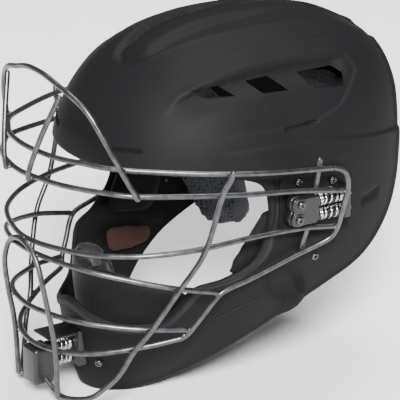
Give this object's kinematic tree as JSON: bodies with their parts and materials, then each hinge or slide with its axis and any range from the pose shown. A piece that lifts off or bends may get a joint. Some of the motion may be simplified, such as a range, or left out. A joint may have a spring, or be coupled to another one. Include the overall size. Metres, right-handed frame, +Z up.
{
  "type": "catcher's style full-shell face mask",
  "caption": "Full-shell face mask with a bent steel wire cage on coil-spring suspension, padded lining and a rear plate held by elastic straps.",
  "frame": {"origin": "middle of the head cavity, on the middle plane", "axes": "-Y towards the wearer's front, +X towards the wearer's left, +Z up as worn"},
  "size_m": [0.2614, 0.3075, 0.2818],
  "materials": {
    "shell_plastic": "moulded satin black",
    "fitting_plastic": "moulded black nylon",
    "cage_wire": "gunmetal coated steel wire",
    "spring_steel": "bright spring steel",
    "screw_steel": "zinc plated steel",
    "mesh_fabric": "knitted spacer mesh over foam",
    "pad_cover": "black sewn fabric over foam",
    "foam": "cut foam",
    "webbing": "woven elastic"
  },
  "bodies": {
    "shell": {"front_shell": "shell_plastic", "forehead_pad": "mesh_fabric", "crown_pad": "mesh_fabric", "side_pad_left": "mesh_fabric", "side_pad_right": "mesh_fabric", "cheek_pad_left": "pad_cover", "cheek_pad_right": "pad_cover", "cheek_foam_left": "foam", "cheek_foam_right": "foam", "backing_plate_left": "fitting_plastic", "backing_plate_right": "fitting_plastic", "side_housing_left": "fitting_plastic", "side_housing_right": "fitting_plastic", "jaw_screw_left": "screw_steel", "jaw_screw_right": "screw_steel", "chin_screw_left": "screw_steel", "chin_screw_right": "screw_steel", "strap_left": "webbing", "strap_right": "webbing", "chin_screw_top": "screw_steel", "chin_pad": "pad_cover", "chin_housing": "fitting_plastic", "strap_top": "webbing", "housing_screw_left_front": "screw_steel", "housing_screw_left_rear": "screw_steel", "housing_screw_right_front": "screw_steel", "housing_screw_right_rear": "screw_steel", "spring_left_upper": "spring_steel", "spring_left_lower": "spring_steel", "spring_right_upper": "spring_steel", "spring_right_lower": "spring_steel", "chin_spring_upper": "spring_steel", "chin_spring_lower": "spring_steel"},
    "cage": {"brow_bar_upper": "cage_wire", "brow_bar_lower": "cage_wire", "eye_bar": "cage_wire", "mouth_bar_upper": "cage_wire", "mouth_bar_middle": "cage_wire", "mouth_bar_lower": "cage_wire", "face_loop": "cage_wire", "chin_hoop": "cage_wire", "crown_hoop": "cage_wire", "chin_clamp": "fitting_plastic", "hoop_post_left": "cage_wire", "hoop_post_right": "cage_wire", "side_frame_left": "cage_wire", "side_frame_right": "cage_wire", "upright_left": "cage_wire", "upright_right": "cage_wire", "carriage_left": "fitting_plastic", "carriage_right": "fitting_plastic", "clamp_cap_left": "fitting_plastic", "clamp_cap_right": "fitting_plastic", "carriage_screw_left_upper": "screw_steel", "carriage_screw_left_lower": "screw_steel", "carriage_screw_right_upper": "screw_steel", "carriage_screw_right_lower": "screw_steel"},
    "rear": {"back_plate": "shell_plastic", "back_pad": "mesh_fabric"}
  },
  "joints": [
    {"name": "cage_slide", "type": "slide", "parent": "shell", "child": "cage", "axis": [0, 1, 0], "range_m": [0, 0.008], "stiffness_N_per_m": 3000, "deforming": ["spring_left_upper", "spring_left_lower", "spring_right_upper", "spring_right_lower", "chin_spring_upper", "chin_spring_lower"]},
    {"name": "rear_plate_slide", "type": "slide", "parent": "shell", "child": "rear", "axis": [0, 1, 0], "range_m": [0, 0.02], "stiffness_N_per_m": 300, "deforming": ["strap_left", "strap_right", "strap_top"]}
  ]
}
